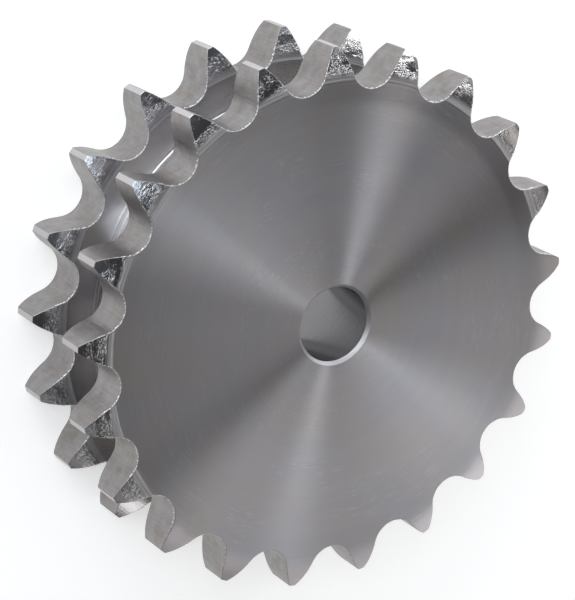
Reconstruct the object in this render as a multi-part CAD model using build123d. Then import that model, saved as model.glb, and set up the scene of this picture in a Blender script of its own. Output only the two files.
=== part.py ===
"""Duplex plate sprocket for 1 inch x 17.02 mm roller chain, with 21 teeth and a pilot bore.

The wheel is one piece of steel. A blank is turned, with a groove between its two rows and a
rounded relief on both sides of each row, and the tooth gaps are then hobbed through both rows.
All sizes are in millimetres. The wheel's axis is Z, and the origin lies on it, midway between
the rows. A tooth of each row points along +X.
"""

import os
from math import acos, atan2, cos, pi, radians, sin, sqrt

from build123d import *

# The chain that the wheel takes
PITCH = 25.4
ROLLER_DIAMETER = 15.88
ROW_SPACING = 31.88  # from the middle of one row of rollers to the middle of the next

# The wheel
TEETH = 21
ROW_WIDTH = 15.8  # thickness of a row of teeth below its reliefs
TOOTH_HEIGHT = 5.5  # from the pitch circle to the tips
GROOVE_DEPTH = 7.8  # from the bottoms of the tooth gaps to the floor of the groove
GROOVE_BEVEL = 0.6  # left in the bottom corners of the groove by the tool's nose
BORE_DIAMETER = 25.0
BORE_CHAMFER = 1.1

# The form of a tooth gap, seen along the wheel's axis
SEAT_CLEARANCE = 0.08  # how much larger the radius of the roller's seat is than the roller's
SEAT_ANGLE = 127.0  # degrees of arc in the seat
FLANK_RADIUS = 61.0
TOPPING_RADIUS = 19.0  # the tighter curve that rounds a tooth over towards its tip
TOPPING_START = 1.6  # height of the topping curve's lower end above the pitch circle

# The relief on the sides of the teeth, seen in a section through the axis
RELIEF_LENGTH = 10.7  # along the radius, from where it leaves the flat face to the tip
RELIEF_WIDTH = 2.5  # how far the side of a tip lies inside the face of its row

CUTTER_REACH = 3.0  # how far the cutter of a tooth gap reaches past the blank

half_tooth_angle = pi / TEETH
pitch_radius = PITCH / sin(half_tooth_angle) / 2
root_radius = pitch_radius - ROLLER_DIAMETER / 2
tip_radius = pitch_radius + TOOTH_HEIGHT
groove_radius = root_radius - GROOVE_DEPTH
bore_radius = BORE_DIAMETER / 2
seat_radius = ROLLER_DIAMETER / 2 + SEAT_CLEARANCE
relief_start = tip_radius - RELIEF_LENGTH  # the radius where the reliefs leave the flat faces
face_z = (ROW_SPACING + ROW_WIDTH) / 2  # height of the wheel's flat face
wall_z = (ROW_SPACING - ROW_WIDTH) / 2  # height of the groove's side wall


def arc_about(centre, start, end):
    """The shorter arc from start to end, round a centre that is equally far from both."""
    to_middle = ((start - centre) + (end - centre)).normalized()
    return ThreePointArc(start, centre + to_middle * (start - centre).length, end)


def polar(radius, angle):
    """The point at this distance and angle from the wheel's axis."""
    return Vector(radius * cos(angle), radius * sin(angle))


def nearer_crossing(centre, radius, reach):
    """Where a circle round centre crosses the circle of radius reach round the wheel's axis,
    on the side of the gap's centre line."""
    across = centre.length
    turn = acos((across**2 + reach**2 - radius**2) / (2 * across * reach))
    return polar(reach, atan2(centre.Y, centre.X) - turn)


def crest(centre, radius):
    """Where a circle round centre meets the middle line of the tooth beside the gap."""
    middle_line = polar(1, half_tooth_angle)
    offset = middle_line.cross(centre).length
    return middle_line * (middle_line.dot(centre) + sqrt(radius**2 - offset**2))


def gap_outline():
    """One tooth gap as a flat face, with its centre line along +X. It ends past the tips, on
    the middle lines of the teeth on both sides."""
    half_seat = radians(SEAT_ANGLE / 2)
    off_seat = Vector(-cos(half_seat), sin(half_seat))
    seat_bottom = Vector(root_radius, 0)
    seat_centre = Vector(root_radius + seat_radius, 0)
    seat_end = seat_centre + off_seat * seat_radius
    flank_centre = seat_end + off_seat * FLANK_RADIUS
    flank_end = nearer_crossing(flank_centre, FLANK_RADIUS, pitch_radius + TOPPING_START)
    topping_centre = flank_end + (flank_centre - flank_end).normalized() * TOPPING_RADIUS
    topping_end = crest(topping_centre, TOPPING_RADIUS)
    outside = max(tip_radius, topping_end.length) + CUTTER_REACH
    one_side = [
        arc_about(seat_centre, seat_bottom, seat_end),
        arc_about(flank_centre, seat_end, flank_end),
        arc_about(topping_centre, flank_end, topping_end),
        Line(topping_end, polar(outside, half_tooth_angle)),
        Line(polar(outside, half_tooth_angle), Vector(outside, 0)),
    ]
    other_side = [mirror(edge, about=Plane.XZ) for edge in one_side]
    return make_face(one_side + other_side)


def relief(flat_edge, tip_edge):
    """A relief's section: a parabola that leaves the flat side of a row smoothly and falls away
    towards the tip."""
    return Bezier(flat_edge, Vector((flat_edge.X + tip_edge.X) / 2, flat_edge.Y), tip_edge)


def half_section():
    """The blank's section from the middle of the groove up to the flat face, drawn with the
    radius along X and the height along Y."""
    bore_top = Vector(bore_radius, face_z - BORE_CHAMFER)
    chamfer_edge = Vector(bore_radius + BORE_CHAMFER, face_z)
    face_edge = Vector(relief_start, face_z)
    tip_edge = Vector(tip_radius, face_z - RELIEF_WIDTH)
    inner_tip_edge = Vector(tip_radius, wall_z + RELIEF_WIDTH)
    wall_edge = Vector(relief_start, wall_z)
    bevel_top = Vector(groove_radius + GROOVE_BEVEL, wall_z)
    bevel_foot = Vector(groove_radius, wall_z - GROOVE_BEVEL)
    return make_face(
        [
            Polyline((bore_radius, 0), bore_top, chamfer_edge, face_edge),
            relief(face_edge, tip_edge),
            Line(tip_edge, inner_tip_edge),
            relief(wall_edge, inner_tip_edge),
            Polyline(wall_edge, bevel_top, bevel_foot, (groove_radius, 0), (bore_radius, 0)),
        ]
    )


def turned_blank():
    """The wheel before its teeth are cut: the half section revolved, and mirrored below."""
    upper = revolve(Plane.XZ * half_section(), Axis.Z)
    return upper + mirror(upper, about=Plane.XY)


def sprocket():
    """The blank with its tooth gaps cut through both rows at once."""
    cutter = extrude(gap_outline(), amount=face_z + CUTTER_REACH, both=True)
    first_gap = 360 / TEETH / 2  # degrees from the tooth on +X to the gap beside it
    gaps = [place * cutter for place in PolarLocations(0, TEETH, start_angle=first_gap)]
    return turned_blank() - gaps


os.makedirs("parts", exist_ok=True)
export_step(sprocket(), "parts/sprocket.step")
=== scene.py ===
"""Looks of the duplex chain sprocket, in metres: the turned and hobbed wheel on a pale floor.

The wheel's mesh is one closed grid. Every ring of it has a point for each point of the teeth's
outline. The rings run up the bore, out over the upper face, down the tooth gaps and into the
groove, and then round the lower row back to the bore. The mesh stands for the CAD node, whose
form it repeats with small roundings. A second mesh holds the burrs along the gaps' edges.
"""

from math import acos, atan2, cos, pi, radians, sin, tan

import bpy
import numpy as np
from mathutils import Matrix, Quaternion, Vector


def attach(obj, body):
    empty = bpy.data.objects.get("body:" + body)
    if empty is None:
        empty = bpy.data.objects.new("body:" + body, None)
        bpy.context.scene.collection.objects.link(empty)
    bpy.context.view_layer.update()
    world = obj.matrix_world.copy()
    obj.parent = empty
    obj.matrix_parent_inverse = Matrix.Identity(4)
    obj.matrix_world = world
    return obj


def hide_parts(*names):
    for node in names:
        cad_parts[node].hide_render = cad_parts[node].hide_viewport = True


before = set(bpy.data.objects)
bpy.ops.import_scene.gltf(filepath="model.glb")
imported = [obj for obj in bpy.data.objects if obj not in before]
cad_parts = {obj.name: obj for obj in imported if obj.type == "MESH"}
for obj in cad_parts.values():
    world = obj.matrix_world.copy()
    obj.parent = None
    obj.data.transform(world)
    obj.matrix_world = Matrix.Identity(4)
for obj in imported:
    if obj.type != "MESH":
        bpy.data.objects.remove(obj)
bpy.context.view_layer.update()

MM = 0.001

# The wheel, as the CAD part has it
TEETH = 21
PITCH = 25.4 * MM
ROLLER_DIAMETER = 15.88 * MM
ROW_SPACING = 31.88 * MM
ROW_WIDTH = 15.8 * MM
TOOTH_HEIGHT = 5.5 * MM
GROOVE_DEPTH = 7.8 * MM
BORE_DIAMETER = 25.0 * MM
BORE_CHAMFER = 1.1 * MM
SEAT_CLEARANCE = 0.08 * MM
SEAT_ANGLE = 127.0  # degrees
FLANK_RADIUS = 61.0 * MM
TOPPING_RADIUS = 19.0 * MM
TOPPING_START = 1.6 * MM
RELIEF_LENGTH = 10.7 * MM
RELIEF_WIDTH = 2.5 * MM

# Small roundings that machining and handling leave
GROOVE_FILLET = 0.6 * MM
EDGE_ROUNDING = 0.16 * MM  # along the outline of the teeth
LAND_ROUNDING = 0.2 * MM  # between a tip's land and the curves beside it
BORE_ROUNDING = 0.12 * MM

# The burr that the cutter leaves along the upper edges of the gaps
BURR_SPACING = 0.25 * MM  # between the rings of its mesh
BURR_REACH = 87.5 * MM  # radius where it ends
BURR_SIZE = 0.42 * MM  # of its thickest beads, half across
BURR_THREAD = 0.02 * MM  # of the thread between the beads, half across
BURR_BEAD = 1.0 * MM  # from one bead to the next
BURR_FADE = 3.0 * MM  # over which it thins out at both ends
BURR_END = 0.1  # of its size that is left at the ends
BURR_SIDES = 6
BURR_SHIFT = 0.25  # of its size, by which its middle stands out into the gap
BURR_SEED = 7
BEAD_STRAY = 0.3  # of the distance between beads, by which a bead strays at most
BEAD_REACH = 0.42  # of that distance, from a bead's middle to its ends
BEAD_LEAST = 0.3  # of the size of the largest bead, for the smallest

# The side of the wheel on which the cutter tore the metal, as a direction from the axis
TORN_SIDE = radians(232)
TORN_REACH = radians(102)  # how far round from there the reliefs are torn
BURR_BESIDE = 1.25  # share of the burr's size a quarter turn from that side, before its limits
BURR_CHANGE = 1.5  # by which that share changes from there to the torn side
BURR_CLEAN = 0.15  # least share, which is left on the clean side

half_tooth_angle = pi / TEETH
pitch_radius = PITCH / sin(half_tooth_angle) / 2
root_radius = pitch_radius - ROLLER_DIAMETER / 2
tip_radius = pitch_radius + TOOTH_HEIGHT
groove_radius = root_radius - GROOVE_DEPTH
bore_radius = BORE_DIAMETER / 2
seat_radius = ROLLER_DIAMETER / 2 + SEAT_CLEARANCE
relief_start = tip_radius - RELIEF_LENGTH
face_z = (ROW_SPACING + ROW_WIDTH) / 2
wall_z = (ROW_SPACING - ROW_WIDTH) / 2

# Mesh: how many segments each stretch has
SEAT_SEGMENTS = 11  # in half a seat
FLANK_SEGMENTS = 4
TOPPING_SEGMENTS = 5
LAND_SEGMENTS = 2
LAND_CORNER_SEGMENTS = 3
SIDE_SEGMENTS = 3  # from the plain ring below the gaps out to the reliefs
RELIEF_SEGMENTS = 6
RELIEF_SHARE = 0.2  # of a side's width that those rings take where its edge lies below the reliefs
ROUNDING_SEGMENTS = 3
GAP_SEGMENTS = 4
FILLET_SEGMENTS = 4
LAND_MARGIN = 0.02 * MM  # how near to the tip radius a point of a land lies
PLAIN_MARGIN = 1.2 * MM  # from the bottoms of the gaps in to the plain ring, which is a circle
plain_radius = root_radius - PLAIN_MARGIN

# The wheel's finishes, in the order of its material slots
FINISHES = ["side", "wall", "relief", "fillet", "floor", "gap", "land", "bore", "chamfer"]


def arc(centre, radius, start, end, segments):
    """Points along an arc, from one angle to the other, both included."""
    turns = np.linspace(start, end, segments + 1)
    return np.column_stack([centre[0] + radius * np.cos(turns), centre[1] + radius * np.sin(turns)])


def angle_of(point):
    return atan2(point[1], point[0])


def unit(rows):
    """Each row scaled to length 1."""
    return rows / np.linalg.norm(rows, axis=1)[:, None]


def right_of(along):
    """The unit normals to the right of each direction along a path."""
    return unit(np.column_stack([along[:, 1], -along[:, 0]]))


def to_gap(number):
    """The matrix that turns points, as rows, from a gap on +X into this gap of the wheel."""
    turn = (2 * number + 1) * half_tooth_angle
    return np.array([[cos(turn), sin(turn)], [-sin(turn), cos(turn)]])


def circle_crossing(centre, radius, reach):
    """Where a circle round centre crosses the circle of radius reach round the wheel's axis, on the
    side nearer to the gap's centre line."""
    across = np.hypot(*centre)
    turn = acos((across**2 + reach**2 - radius**2) / (2 * across * reach))
    direction = angle_of(centre) - turn
    return reach * np.array([cos(direction), sin(direction)])


def half_gap():
    """The outline from the bottom of a gap, on +X, up to the middle of the tooth beside it."""
    half_seat = radians(SEAT_ANGLE / 2)
    off_seat = np.array([-cos(half_seat), sin(half_seat)])
    seat_centre = np.array([root_radius + seat_radius, 0.0])
    seat = arc(seat_centre, seat_radius, pi, pi - half_seat, SEAT_SEGMENTS)
    flank_centre = seat[-1] + off_seat * FLANK_RADIUS
    flank_end = circle_crossing(flank_centre, FLANK_RADIUS, pitch_radius + TOPPING_START)
    flank = arc(
        flank_centre,
        FLANK_RADIUS,
        angle_of(seat[-1] - flank_centre),
        angle_of(flank_end - flank_centre),
        FLANK_SEGMENTS,
    )
    inward = (flank_centre - flank_end) / FLANK_RADIUS
    topping_centre = flank_end + inward * TOPPING_RADIUS
    corner = circle_crossing(topping_centre, TOPPING_RADIUS, tip_radius)
    topping_angles = [angle_of(p - topping_centre) for p in (flank_end, corner)]
    cut_back = LAND_ROUNDING / TOPPING_RADIUS
    topping = arc(
        topping_centre,
        TOPPING_RADIUS,
        topping_angles[0],
        topping_angles[1] - cut_back,
        TOPPING_SEGMENTS,
    )
    land_start = angle_of(corner) + LAND_ROUNDING / tip_radius
    land = arc((0, 0), tip_radius, land_start, half_tooth_angle, LAND_SEGMENTS)
    steps = np.linspace(0, 1, LAND_CORNER_SEGMENTS + 1)[:, None]
    rounding = (1 - steps) ** 2 * topping[-1] + 2 * steps * (1 - steps) * corner + steps**2 * land[0]
    return np.vstack([seat[:-1], flank[:-1], topping[:-1], rounding[:-1], land])


def tooth_outline():
    """The whole outline, anticlockwise from the middle of the tooth on +X, and its unit normals,
    which point out of the steel."""
    upper = half_gap()
    lower = upper[::-1] * (1, -1)
    gap = np.vstack([lower[:-1], upper[:-1]])
    outline = np.vstack([gap @ to_gap(number) for number in range(TEETH)])
    along = np.roll(outline, -1, axis=0) - np.roll(outline, 1, axis=0)
    return outline, right_of(along)


outline, outline_normals = tooth_outline()
outline_directions = unit(outline)


def rounded(corners, radii, segments):
    """A path through corners, each a (radius, height) pair, with all but its two ends rounded off."""
    path = [np.array(corners[0], float)]
    for before, corner, after, radius in zip(corners, corners[1:], corners[2:], radii):
        before, corner, after = (np.array(p, float) for p in (before, corner, after))
        back = (before - corner) / np.linalg.norm(before - corner)
        on = (after - corner) / np.linalg.norm(after - corner)
        half_turn = acos(np.clip(-back @ on, -1, 1)) / 2
        reach = radius * tan(half_turn)
        start, end = corner + back * reach, corner + on * reach
        centre = corner + (back + on) / np.linalg.norm(back + on) * radius / cos(half_turn)
        for step in np.linspace(0, 1, segments + 1):
            chord = start + (end - start) * step - centre
            path.append(centre + chord / np.linalg.norm(chord) * radius)
    path.append(np.array(corners[-1], float))
    return path


# A ring is its points' plan, their height or heights, and the finish of the strip of faces that
# follows it.


def side_height(plane, outward, plan):
    """Height of a row's side over points of the plan. It is flat up to the relief."""
    beyond = np.clip(np.linalg.norm(plan, axis=1) - relief_start, 0, None)
    return plane - outward * RELIEF_WIDTH * (beyond / RELIEF_LENGTH) ** 2


def side_rings(plane, outward, finish):
    """Rings over one side of a row, from the plain circle out to the edge of the gaps. outward is 1
    for a side that faces up, and -1 for one that faces down."""
    inner = outline_directions * plain_radius
    outer = outline - outline_normals * EDGE_ROUNDING
    reach = np.linalg.norm(outer, axis=1)
    width = reach - plain_radius
    shoulder_radius = np.minimum(reach - width * RELIEF_SHARE, relief_start)
    shoulder = inner + (outer - inner) * ((shoulder_radius - plain_radius) / width)[:, None]
    side_steps = np.linspace(0, 1, SIDE_SEGMENTS + 1)[:-1]
    relief_steps = np.linspace(0, 1, RELIEF_SEGMENTS + 1)[:-1]
    plans = [inner + (shoulder - inner) * step for step in side_steps]
    plans += [shoulder + (outer - shoulder) * step for step in relief_steps]
    rings = [(plan, side_height(plane, outward, plan), finish) for plan in plans]
    for turn in np.linspace(0, pi / 2, ROUNDING_SEGMENTS + 1):
        plan = outline - outline_normals * EDGE_ROUNDING * (1 - sin(turn))
        drop = outward * EDGE_ROUNDING * (1 - cos(turn))
        rings.append((plan, side_height(plane, outward, plan) - drop, "gap"))
    return rings


def circle_rings(path, finishes):
    """Rings that are circles, for a path of (radius, height) pairs."""
    return [
        (outline_directions * radius, np.full(len(outline), height), finish)
        for (radius, height), finish in zip(path, finishes)
    ]


def upper_half():
    """Rings from the middle of the bore over the upper row to the middle of the groove's floor."""
    hub_path = rounded(
        [
            (bore_radius, 0),
            (bore_radius, face_z - BORE_CHAMFER),
            (bore_radius + BORE_CHAMFER, face_z),
            (plain_radius, face_z),
        ],
        [BORE_ROUNDING, BORE_ROUNDING],
        ROUNDING_SEGMENTS,
    )[:-1]
    hub_finishes = ["bore"] + ["chamfer"] * (2 * ROUNDING_SEGMENTS + 1) + ["side"]
    groove_path = rounded(
        [(plain_radius, wall_z), (groove_radius, wall_z), (groove_radius, 0)],
        [GROOVE_FILLET],
        FILLET_SEGMENTS,
    )[1:-1]
    groove_finishes = ["fillet"] * FILLET_SEGMENTS + ["floor"]
    upper_side = side_rings(face_z, 1, "side")
    lower_side = side_rings(wall_z, -1, "wall")
    edge_plan, edge_z, _ = upper_side[-1]
    _, lower_edge_z, _ = lower_side[-1]
    gap = [
        (edge_plan, edge_z + (lower_edge_z - edge_z) * share, "gap")
        for share in np.linspace(0, 1, GAP_SEGMENTS + 1)[1:-1]
    ]
    inner_side = [
        (plan, z, "gap" if number < ROUNDING_SEGMENTS else "wall")
        for number, (plan, z, _) in enumerate(reversed(lower_side))
    ]
    return (
        circle_rings(hub_path, hub_finishes)
        + upper_side
        + gap
        + inner_side
        + circle_rings(groove_path, groove_finishes)
    )


def wheel_rings():
    """All the rings of the closed section. On the way back through the lower half, the strip that
    follows a ring mirrors the one that comes before it in the upper half."""
    upper = upper_half()
    middle = circle_rings([(groove_radius, 0)], ["floor"])
    finishes = [finish for _, _, finish in upper]
    lower = [(plan, -z, finish) for (plan, z, _), finish in zip(upper[:0:-1], finishes[-2::-1])]
    return upper + middle + lower


def face_slots(rings, face_radii):
    """The material slot of each face. A tip's face is a land, and the outer part of a side is a
    relief of its own finish where it is torn."""
    strips = np.array([finish for _, _, finish in rings])[:, None]
    near_tip = np.linalg.norm(outline, axis=1) > tip_radius - LAND_MARGIN
    on_land = (strips == "gap") & near_tip & np.roll(near_tip, -1)
    torn = outline_directions @ (cos(TORN_SIDE), sin(TORN_SIDE)) > cos(TORN_REACH)
    on_relief = np.isin(strips, ("side", "wall")) & torn & (face_radii > relief_start)
    finishes = np.where(on_land, "land", np.where(on_relief, "relief", strips))
    return [FINISHES.index(finish) for finish in finishes.ravel()]


def make_wheel():
    """The wheel's closed grid, with a material slot for each finish."""
    rings = wheel_rings()
    points = np.vstack([np.column_stack([plan, z]) for plan, z, _ in rings])
    ring_starts = np.arange(len(rings))[:, None] * len(outline)
    here = ring_starts + np.arange(len(outline))
    there = np.roll(here, -1, axis=0)
    faces = np.stack([here, there, np.roll(there, -1, axis=1), np.roll(here, -1, axis=1)], axis=-1)
    face_radii = np.linalg.norm(points[:, :2], axis=1)[faces].mean(axis=-1)
    mesh = bpy.data.meshes.new("sprocket_wheel")
    mesh.from_pydata(points.tolist(), [], faces.reshape(-1, 4).tolist())
    mesh.polygons.foreach_set("material_index", face_slots(rings, face_radii))
    mesh.polygons.foreach_set("use_smooth", [True] * face_radii.size)
    wheel = bpy.data.objects.new("sprocket_wheel", mesh)
    bpy.context.scene.collection.objects.link(wheel)
    keep_flat = wheel.modifiers.new("flat faces stay flat", "WEIGHTED_NORMAL")
    keep_flat.mode = "FACE_AREA"
    keep_flat.weight = 100
    return wheel


def gap_path():
    """Evenly spaced points along one gap's edge, from one flank to the other, and their normals."""
    upper = half_gap()
    edge = np.vstack([upper[:0:-1] * (1, -1), upper])
    edge = edge[np.linalg.norm(edge, axis=1) < BURR_REACH]
    lengths = np.concatenate([[0], np.cumsum(np.linalg.norm(np.diff(edge, axis=0), axis=1))])
    stations = np.arange(0, lengths[-1], BURR_SPACING)
    path = np.column_stack([np.interp(stations, lengths, edge[:, axis]) for axis in (0, 1)])
    return path, right_of(np.gradient(path, axis=0))


def bead_sizes(path, random):
    """Half widths of the burr along one gap: uneven beads, which are small on the clean side of the
    wheel and thin out at both ends."""
    along = np.arange(len(path)) * BURR_SPACING
    beads = int(along[-1] / BURR_BEAD) + 2
    middles = (np.arange(beads) + random.uniform(-BEAD_STRAY, BEAD_STRAY, beads)) * BURR_BEAD
    heights = random.uniform(BEAD_LEAST, 1.0, beads)
    nearness = 1 - np.abs(along[:, None] - middles) / (BEAD_REACH * BURR_BEAD)
    swell = (np.sqrt(np.clip(nearness, 0, None)) * heights).max(axis=1)
    fade = np.clip(np.minimum(along, along[::-1]) / BURR_FADE, BURR_END, 1)
    to_torn_side = angle_of(path[len(path) // 2]) - TORN_SIDE
    torn = np.clip(BURR_BESIDE + BURR_CHANGE * cos(to_torn_side), BURR_CLEAN, 1)
    return (BURR_THREAD + (BURR_SIZE - BURR_THREAD) * swell) * fade * torn


def strip_faces(first, rings):
    """Faces of one closed strip, whose rings of points start at the point numbered first."""
    sides = range(BURR_SIDES)
    faces = []
    for ring in range(rings - 1):
        here = first + ring * BURR_SIDES
        there = here + BURR_SIDES
        for side in sides:
            beside = (side + 1) % BURR_SIDES
            faces.append((here + side, there + side, there + beside, here + beside))
    last = first + (rings - 1) * BURR_SIDES
    faces.append(tuple(first + side for side in sides))
    faces.append(tuple(last + side for side in reversed(sides)))
    return faces


def make_burrs():
    """A thin beaded strip along the upper edge of every gap of both rows. It hangs over into the
    gap and is sunk in the edge, so nothing of it stands above the side of the row."""
    random = np.random.default_rng(BURR_SEED)
    gap, gap_normals = gap_path()
    spokes = 2 * pi * np.arange(BURR_SIDES) / BURR_SIDES
    points, faces = [], []
    for plane in (face_z, -wall_z):
        for number in range(TEETH):
            path, normals = gap @ to_gap(number), gap_normals @ to_gap(number)
            sizes = bead_sizes(path, random)
            height = side_height(plane, 1, path) - sizes
            faces += strip_faces(len(points), len(path))
            for centre, normal, z, size in zip(path, normals, height, sizes):
                for spoke in spokes:
                    offset = normal * size * (BURR_SHIFT + cos(spoke))
                    points.append((*(centre + offset), z + size * sin(spoke)))
    mesh = bpy.data.meshes.new("edge_burrs")
    mesh.from_pydata(points, [], faces)
    mesh.polygons.foreach_set("use_smooth", [True] * len(faces))
    burrs = bpy.data.objects.new("edge_burrs", mesh)
    bpy.context.scene.collection.objects.link(burrs)
    return burrs


class Nodes:
    """A node tree in the making. Each call adds a node and gives its output."""

    def __init__(self, tree):
        self.tree = tree

    def feed(self, socket, value):
        if isinstance(value, bpy.types.NodeSocket):
            self.tree.links.new(value, socket)
        else:
            socket.default_value = value

    def feed_all(self, node, inputs):
        for socket, value in dict(inputs).items():
            self.feed(node.inputs[socket], value)

    def add(self, kind, output=0, inputs=(), **settings):
        node = self.tree.nodes.new("ShaderNode" + kind)
        for name, value in settings.items():
            setattr(node, name, value)
        self.feed_all(node, inputs)
        return node.outputs[output]

    def math(self, operation, *values):
        """The values taken together, two at a time. An operation on one value takes it alone."""
        if len(values) == 1:
            return self.add("Math", inputs={0: values[0]}, operation=operation)
        total = values[0]
        for value in values[1:]:
            total = self.add("Math", inputs={0: total, 1: value}, operation=operation)
        return total

    def sum(self, *values):
        return self.math("ADD", *values)

    def product(self, *values):
        return self.math("MULTIPLY", *values)

    def vector(self, operation, *values, output=0):
        return self.add("VectorMath", output, enumerate(values), operation=operation)

    def scaled(self, vector, scale):
        return self.add("VectorMath", inputs={0: vector, "Scale": scale}, operation="SCALE")

    def parts(self, vector):
        """The three parts of a vector."""
        node = self.tree.nodes.new("ShaderNodeSeparateXYZ")
        self.feed(node.inputs[0], vector)
        return node.outputs

    def joined(self, x, y, z):
        return self.add("CombineXYZ", inputs=enumerate((x, y, z)))

    def ramp(self, value, low, high, start=0.0, end=1.0, **settings):
        """Start below low, end above high, and straight between them."""
        return self.add("MapRange", inputs=enumerate((value, low, high, start, end)), **settings)

    def blend(self, share, first, second):
        """A colour between two others."""
        inputs = {0: share, 6: first, 7: second}
        return self.add("Mix", output=2, inputs=inputs, data_type="RGBA")

    def noise(self, place, detail=2.0, roughness=0.5):
        """Values about 0.5, with one bump or so for each unit of place."""
        inputs = {"Vector": place, "Scale": 1.0, "Detail": detail, "Roughness": roughness}
        return self.add("TexNoise", inputs=inputs)


class Shade(Nodes):
    """One kind of steel in the making. Places and sizes in it are in millimetres."""

    def __init__(self, name):
        self.material = bpy.data.materials.new(name)
        self.material.use_nodes = True
        super().__init__(self.material.node_tree)
        self.place = self.scaled(self.add("TexCoord", output="Object"), 1 / MM)
        self.x, self.y, self.z = self.parts(self.place)
        squares = self.product(self.x, self.x), self.product(self.y, self.y)
        self.radius = self.math("SQRT", self.sum(*squares))

    def clouds(self, size, detail=2.0, roughness=0.5):
        """Noise that is the same in all directions, with bumps of this size."""
        return self.noise(self.scaled(self.place, 1 / size), detail, roughness)

    def outward(self):
        return self.vector("NORMALIZE", self.joined(self.x, self.y, 0.0))

    def along_axis(self):
        return self.joined(0.0, 0.0, 1.0)

    def around(self, across, along):
        """A place for noise whose marks run round the axis, with their sizes across and along."""
        level_x, level_y, _ = self.parts(self.scaled(self.outward(), MARK_RADIUS / along))
        height = self.product(self.sum(self.radius, self.z), 1 / across)
        return self.joined(level_x, level_y, height)

    def facing(self, direction):
        """The cosine of the angle round the axis from a direction, which is 1 on that side."""
        side_x, side_y, _ = self.parts(self.outward())
        return self.sum(self.product(side_x, cos(direction)), self.product(side_y, sin(direction)))

    def steel(self, colour, roughness, height, anisotropy=0.0, turn=0.0, tangent=None):
        """The finished material. The height of its marks is in millimetres too."""
        inputs = {
            "Base Color": colour,
            "Metallic": 1.0,
            "Roughness": roughness,
            "Anisotropic": anisotropy,
            "Anisotropic Rotation": turn,
            "Normal": self.add("Bump", inputs={"Height": height, "Distance": MM}),
        }
        if tangent is not None:
            inputs["Tangent"] = tangent
        self.feed_all(self.tree.nodes["Principled BSDF"], inputs)
        return self.material


# Places on the steel, in millimetres from the axis, and directions round it
RELIEF_EDGE = relief_start / MM  # where the reliefs start
GROOVE_FLOOR = groove_radius / MM
DULL_START = 52.0  # from where the outer faces get slowly darker
DULL_END = 70.0
RIM_START = 72.0  # from where their rim is darker still
RIM_END = 75.0
SHADED_RIM_START = 71.5  # from where the rim is painted darker on one side, as painted shade
SHADED_RIM_END = 74.5
# the side round the axis where that painted shade on the rim is darkest
SHADED_RIM_SIDE = radians(168)
PAINTED_SHADE_SIDE = radians(228)  # where the outer faces are painted a little darker, as painted shade
MARK_RADIUS = 60.0  # where marks that run round the axis have their written length


def side_steel():
    """The flat outer faces: fine turned marks that fan the light out into stripes along the radius."""
    shade = Shade("side")
    fine = shade.noise(shade.around(0.45, 14.0), detail=3.0, roughness=0.6)
    short = shade.noise(shade.around(0.4, 4.0))
    broad = shade.noise(shade.around(4.0, 90.0))
    rings = shade.noise(shade.around(0.35, 60.0), detail=1.0)
    dashes = shade.noise(shade.around(0.45, 5.0), detail=1.0)
    dash_zone = shade.ramp(shade.noise(shade.around(14.0, 25.0), detail=1.0), 0.5, 0.6)
    ring_zone = shade.product(
        shade.ramp(shade.radius, RELIEF_EDGE - 1.5, RELIEF_EDGE - 0.5),
        shade.ramp(shade.radius, RELIEF_EDGE + 3.5, RELIEF_EDGE + 2.0),
        shade.ramp(shade.facing(TORN_SIDE), -0.3, 0.4, 0.15, 1.0),
    )
    # painted shade: the rim of the outer faces darker on one side
    painted_rim_shade = shade.product(
        shade.ramp(shade.radius, SHADED_RIM_START, SHADED_RIM_END, 0.0, -0.22),
        shade.ramp(shade.facing(SHADED_RIM_SIDE), 0.7, 0.95),
    )
    shine = shade.sum(
        shade.ramp(fine, 0.3, 0.7, -0.025, 0.025),
        shade.ramp(broad, 0.3, 0.7, 0.985, 1.015),
        shade.product(shade.ramp(dashes, 0.6, 0.68, 0.0, 0.14), dash_zone),
        shade.product(shade.ramp(rings, 0.35, 0.65, -0.2, 0.3), ring_zone),
        painted_rim_shade,
        # painted shade: the outer faces darker towards one side
        shade.ramp(shade.facing(PAINTED_SHADE_SIDE), 0.5, 0.95, 0.0, -0.13),
    )

    outer = shade.sum(
        shade.ramp(shade.radius, DULL_START, DULL_END, 0.0, 0.6),
        shade.ramp(shade.radius, RIM_START, RIM_END, 0.0, 0.4),
    )
    tone = shade.blend(outer, (0.5, 0.49, 0.515, 1), (0.445, 0.436, 0.454, 1))
    patches = shade.ramp(shade.clouds(22.0, detail=3.0), 0.35, 0.65)
    tint = shade.blend(patches, (1.025, 1.0, 0.97, 1), (0.97, 0.99, 1.03, 1))
    on_relief = shade.ramp(shade.radius, RELIEF_EDGE + 0.5, RELIEF_EDGE + 4.0)
    relief_tint = shade.blend(on_relief, (1.0, 1.0, 1.0, 1), (1.06, 1.03, 1.015, 1))
    tinted = shade.vector("MULTIPLY", shade.vector("MULTIPLY", tone, tint), relief_tint)

    roughness = shade.ramp(fine, 0.3, 0.7, 0.295, 0.325)
    grain = shade.product(shade.clouds(0.5), on_relief)
    height = shade.sum(shade.product(fine, 0.02), shade.product(short, 0.02), shade.product(grain, 0.05))
    return shade.steel(
        shade.scaled(tinted, shine), roughness, height, anisotropy=1.0, tangent=shade.outward()
    )


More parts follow.
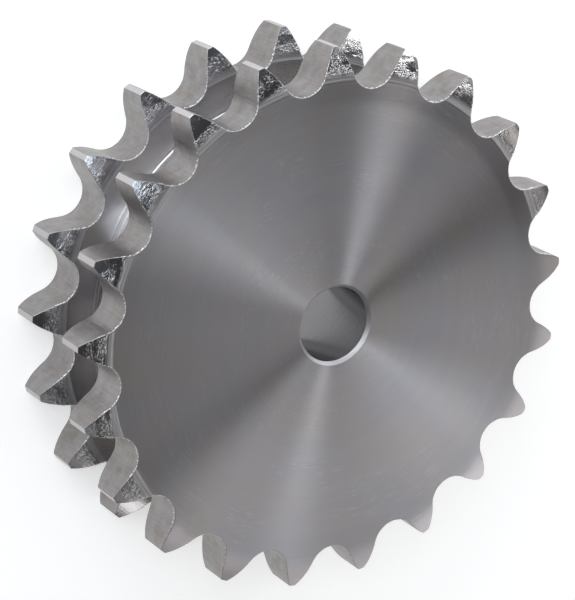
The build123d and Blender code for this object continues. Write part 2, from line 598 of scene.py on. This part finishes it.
def relief_steel():
    """The reliefs on the torn side of the wheel: bright, with torn patches and a few tool rings."""
    shade = Shade("relief")
    torn = shade.noise(shade.around(0.33, 0.8), roughness=0.6)
    patch = shade.noise(shade.around(2.5, 6.0))
    zone = shade.product(
        shade.ramp(shade.radius, RELIEF_EDGE + 1.2, RELIEF_EDGE + 2.6),
        shade.ramp(shade.radius, RELIEF_EDGE + 9.5, RELIEF_EDGE + 7.5, 0.15, 1.0),
        shade.ramp(patch, 0.4, 0.55, 0.12, 1.0),
        shade.ramp(shade.facing(TORN_SIDE), -0.1, 0.4, 0.35, 1.0),
    )
    rings = shade.noise(shade.around(0.3, 30.0), detail=1.0)
    ring_zone = shade.ramp(shade.radius, RELIEF_EDGE + 1.7, RELIEF_EDGE + 2.6, 1.0, 0.15)
    speck = shade.product(shade.ramp(torn, 0.54, 0.6), zone)

    ring_tone = shade.product(shade.ramp(rings, 0.35, 0.65, -0.25, 0.3), ring_zone)
    # painted shade: the reliefs darker towards both ends of the torn side
    painted_end_shade = shade.ramp(shade.facing(TORN_SIDE), -0.1, 0.15, 0.72, 1.0)
    shine = shade.product(shade.sum(1.0, ring_tone), painted_end_shade)
    ground = shade.scaled((0.52, 0.508, 0.525), shine)
    colour = shade.blend(speck, ground, (0.9, 0.89, 0.9, 1))

    smooth = shade.ramp(shade.radius, RELIEF_EDGE + 0.5, RELIEF_EDGE + 3.0, 0.5, 0.22)
    roughness = shade.sum(smooth, shade.product(speck, 0.2))
    height = shade.sum(shade.product(torn, zone, 0.26), shade.product(rings, ring_zone, 0.05))
    return shade.steel(colour, roughness, height)


def wall_steel():
    """The groove's side walls: turned, and smoother than the outer faces."""
    shade = Shade("wall")
    fine = shade.noise(shade.around(0.4, 30.0), detail=3.0)
    rings = shade.noise(shade.around(0.5, 60.0), detail=1.0)
    ring_zone = shade.ramp(shade.radius, GROOVE_FLOOR + 2.5, GROOVE_FLOOR + 1.5)
    shine = shade.sum(1.0, shade.product(shade.ramp(rings, 0.4, 0.6, -0.2, 0.4), ring_zone))
    patches = shade.ramp(shade.clouds(9.0), 0.35, 0.65)
    tint = shade.blend(patches, (0.63, 0.608, 0.586, 1), (0.586, 0.575, 0.586, 1))
    height = shade.product(fine, 0.03)
    return shade.steel(shade.scaled(tint, shine), 0.24, height, anisotropy=0.6, tangent=shade.outward())


def land_steel():
    """The tips' narrow lands: turned, with marks that run round the wheel."""
    shade = Shade("land")
    height = shade.product(shade.noise(shade.around(0.4, 12.0), detail=3.0), 0.03)
    return shade.steel(
        (0.508, 0.493, 0.5, 1), 0.38, height, anisotropy=0.6, tangent=shade.along_axis()
    )


def gap_steel():
    """The hobbed gaps between the teeth: satin, with fine marks along the axis and feed marks
    across it."""
    shade = Shade("gap")
    streaks = shade.noise(shade.vector("MULTIPLY", shade.place, (1.6, 1.6, 0.12)), detail=3.0)
    feed = shade.noise(shade.vector("MULTIPLY", shade.place, (0.08, 0.08, 1.3)))
    clouds = shade.clouds(4.0, detail=3.0, roughness=0.6)
    patches = shade.ramp(clouds, 0.3, 0.7)
    tint = shade.blend(patches, (0.315, 0.284, 0.266, 1), (0.262, 0.262, 0.268, 1))
    shine = shade.sum(
        shade.ramp(streaks, 0.3, 0.7, -0.07, 0.07),
        shade.ramp(feed, 0.3, 0.7, -0.02, 0.02),
        shade.ramp(clouds, 0.3, 0.7, 0.8, 1.2),
    )
    height = shade.sum(
        shade.product(streaks, 0.07), shade.product(feed, 0.05), shade.product(clouds, 0.25)
    )
    return shade.steel(
        shade.scaled(tint, shine), 0.38, height, anisotropy=0.3, turn=0.25, tangent=shade.along_axis()
    )


def burr_steel():
    """The burrs along the gaps' edges: torn metal that scatters light."""
    shade = Shade("burr")
    return shade.steel((0.7, 0.69, 0.7, 1), 0.4, shade.product(shade.clouds(1 / 3), 0.1))


def turned_steel(name, brightness, roughness, anisotropy):
    """Steel turned round the axis, as in the bore, on its chamfer and on the groove's floor."""
    shade = Shade(name)
    marks = shade.noise(shade.around(0.5, 8.0), detail=3.0)
    tone = shade.ramp(marks, 0.3, 0.7, brightness * 0.97, brightness * 1.03)
    colour = shade.scaled(shade.joined(1.0, 0.98, 1.01), tone)
    height = shade.product(marks, 0.05)
    return shade.steel(colour, roughness, height, anisotropy, tangent=shade.along_axis())


steels = {
    "side": side_steel(),
    "wall": wall_steel(),
    "relief": relief_steel(),
    "fillet": turned_steel("fillet", brightness=0.36, roughness=0.32, anisotropy=0.0),
    "floor": turned_steel("floor", brightness=0.41, roughness=0.25, anisotropy=0.3),
    "gap": gap_steel(),
    "land": land_steel(),
    "bore": turned_steel("bore", brightness=0.4, roughness=0.2, anisotropy=0.85),
    "chamfer": turned_steel("chamfer", brightness=0.42, roughness=0.55, anisotropy=0.0),
}

wheel = make_wheel()
for finish in FINISHES:
    wheel.data.materials.append(steels[finish])
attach(wheel, "root")
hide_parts("sprocket")

burrs = make_burrs()
burrs.data.materials.append(burr_steel())
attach(burrs, "root")

# The camera: what it aims at, and where it stands round that point
CAMERA_AIM = Vector((0.0, -2.76, -1.98)) * MM
CAMERA_AZIMUTH = radians(-97.895)  # anticlockwise from +X
CAMERA_ELEVATION = radians(54.096)
CAMERA_DISTANCE = 0.8234
CAMERA_ROLL = radians(118.94)  # anticlockwise, from the way up that has the axis upright
CAMERA_LENS = 150.65  # millimetres


def towards(azimuth, elevation):
    """The direction from the origin to a place at this azimuth and elevation."""
    return Vector((cos(elevation) * cos(azimuth), cos(elevation) * sin(azimuth), sin(elevation)))


def make_camera():
    """A long lens that looks down on the upper face from one side, with the picture rolled."""
    camera = bpy.data.objects.new("camera", bpy.data.cameras.new("camera"))
    bpy.context.scene.collection.objects.link(camera)
    back = towards(CAMERA_AZIMUTH, CAMERA_ELEVATION)
    level = (-back).to_track_quat("-Z", "Y")
    camera.location = CAMERA_AIM + back * CAMERA_DISTANCE
    camera.rotation_mode = "QUATERNION"
    camera.rotation_quaternion = level @ Quaternion((0, 0, 1), CAMERA_ROLL)
    camera.data.lens = CAMERA_LENS
    bpy.context.scene.camera = camera


make_camera()


WHITE = (1.0, 1.0, 1.0, 1.0)

# The floor, which is as good as white all over and keeps the wheel's shadow
FLOOR_RADIUS = 4.0
FLOOR_SIDES = 96
FLOOR_COLOUR = (0.62, 0.62, 0.62, 1.0)
FLOOR_GLOW = 0.55  # near the wheel, where the lamps add the rest
FLOOR_NEAR = 0.4  # metres from the axis, up to which the glow is that
FLOOR_FAR = 1.6  # from which it is full white

# The sky: white at the horizon and dark above, as metal mirrors it
OVERHEAD = 0.035  # brightness straight above
HORIZON_HEIGHT = radians(10.0)  # up to which it fades from white
FILL = 0.18  # the even brightness with which it lights dull surfaces

# Softboxes: azimuth and elevation in degrees, width and height in metres, roll in degrees,
# brightness, and warmth, by which red is raised and blue is lowered
LIGHT_DISTANCE = 1.0
SOFTBOXES = [
    (150, 20, 0.3, 0.6, 0, 2.3, 0.02),
    (50, 44, 0.3, 0.6, 90, 1.5, 0.01),
    (90, 36, 0.3, 0.3, 0, 1.7, 0.02),
    (5, 44, 0.8, 0.3, 0, 0.4, 0.0),
    (75, 28, 0.15, 0.5, 0, 1.6, 0.0),
    (160, 10, 1.2, 0.3, 0, 2.1, -0.08),
    (120, 28, 0.15, 0.5, 45, 0.86, 0.07),
    (70, 15, 0.9, 0.5, 0, 0.95, 0.02),
    (250, 60, 0.15, 0.5, 0, 2.25, -0.12),
    (245, 28, 0.3, 0.6, 90, 5.2, -0.03),
    (265, 44, 0.15, 0.5, 45, 7.8, -0.06),
    (150, 28, 0.15, 0.5, 0, 4.6, -0.01),
    (70, 20, 0.15, 0.5, 0, 0.5, 0.02),
    (220, 10, 1.2, 0.3, 0, 7.2, -0.04),
    (105, 20, 0.15, 0.5, -45, 0.53, 0.01),
    (170, 44, 0.3, 0.3, 0, 0.25, -0.15),
]


def make_softbox(azimuth, elevation, width, height, roll, brightness, warmth):
    """An area lamp that faces the origin. A brightness of 1 looks white, whatever the lamp's size."""
    lamp = bpy.data.lights.new("softbox", "AREA")
    lamp.shape = "RECTANGLE"
    lamp.size = width
    lamp.size_y = height
    lamp.energy = brightness * pi * width * height
    lamp.color = (1 + warmth, 1, 1 - warmth)
    softbox = bpy.data.objects.new("softbox", lamp)
    bpy.context.scene.collection.objects.link(softbox)
    away = towards(radians(azimuth), radians(elevation))
    across = Vector((-sin(radians(azimuth)), cos(radians(azimuth)), 0))
    rise = away.cross(across)
    side = across * cos(radians(roll)) + rise * sin(radians(roll))
    top = away.cross(side)
    softbox.matrix_world = Matrix((side, top, away)).transposed().to_4x4()
    softbox.location = away * LIGHT_DISTANCE
    softbox.visible_camera = False


for softbox in SOFTBOXES:
    make_softbox(*softbox)


def floor_paint():
    """Pale and dull. It glows where it is seen or mirrored, and the glow lights no dull surface."""
    material = bpy.data.materials.new("pale floor")
    material.use_nodes = True
    nodes = Nodes(material.node_tree)
    distance = nodes.vector("LENGTH", nodes.add("TexCoord", output="Object"), output="Value")
    glow = nodes.ramp(distance, FLOOR_NEAR, FLOOR_FAR, FLOOR_GLOW, 1.0)
    seen = nodes.math(
        "MAXIMUM",
        nodes.add("LightPath", output="Is Camera Ray"),
        nodes.add("LightPath", output="Is Glossy Ray"),
        nodes.add("LightPath", output="Is Transmission Ray"),
    )
    inputs = {
        "Base Color": FLOOR_COLOUR,
        "Roughness": 0.9,
        "Specular IOR Level": 0.0,
        "Emission Color": WHITE,
        "Emission Strength": nodes.product(glow, seen),
    }
    nodes.feed_all(nodes.tree.nodes["Principled BSDF"], inputs)
    return material


def make_floor():
    """A disc under the wheel, at the height of its lower face."""
    turns = [2 * pi * side / FLOOR_SIDES for side in range(FLOOR_SIDES)]
    rim = [(FLOOR_RADIUS * cos(turn), FLOOR_RADIUS * sin(turn), -face_z) for turn in turns]
    mesh = bpy.data.meshes.new("floor")
    mesh.from_pydata(rim, [], [tuple(range(FLOOR_SIDES))])
    mesh.materials.append(floor_paint())
    floor = bpy.data.objects.new("floor", mesh)
    bpy.context.scene.collection.objects.link(floor)


make_floor()


def make_world():
    """The sky, which fades upwards from a white horizon. Dull surfaces get an even, dim light."""
    world = bpy.data.worlds.new("studio")
    bpy.context.scene.world = world
    world.use_nodes = True
    nodes = Nodes(world.node_tree)
    _, _, height = nodes.parts(nodes.add("TexCoord", output="Generated"))
    sky = nodes.ramp(height, 0.0, sin(HORIZON_HEIGHT), 1.0, OVERHEAD, interpolation_type="SMOOTHSTEP")
    is_diffuse = nodes.add("LightPath", output="Is Diffuse Ray")
    strength = nodes.add("Mix", inputs={0: is_diffuse, 2: sky, 3: FILL})
    nodes.feed_all(nodes.tree.nodes["Background"], {"Color": WHITE, "Strength": strength})


make_world()
bpy.context.scene.view_settings.view_transform = "Standard"
